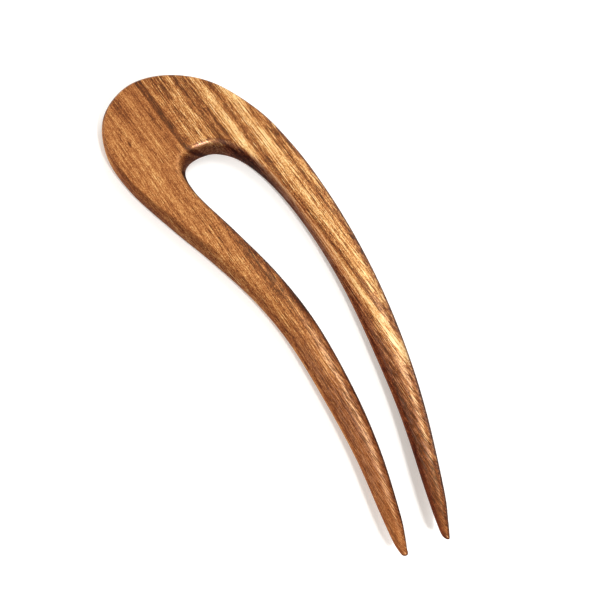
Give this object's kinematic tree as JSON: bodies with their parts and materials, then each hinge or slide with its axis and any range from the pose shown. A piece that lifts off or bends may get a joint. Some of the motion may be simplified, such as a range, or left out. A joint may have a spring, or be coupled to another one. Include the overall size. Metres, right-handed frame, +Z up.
{
  "type": "hair fork",
  "caption": "Carved wooden hair fork that pins up a twist of hair: a broad rounded head that leans to one side, and curved prongs tapering to blunt points.",
  "frame": {"origin": "on the surface that the fork lies on, under the middle of its outline", "axes": "+Z up from the flat underside, +Y along the fork towards its head, the points towards -Y"},
  "size_m": [0.0466, 0.1524, 0.0089],
  "materials": {
    "wood": "sanded smooth, oiled and waxed to a satin sheen; streaky golden to purple-brown grain along the prongs"
  },
  "bodies": {
    "root": {"fork": "wood"}
  },
  "joints": []
}
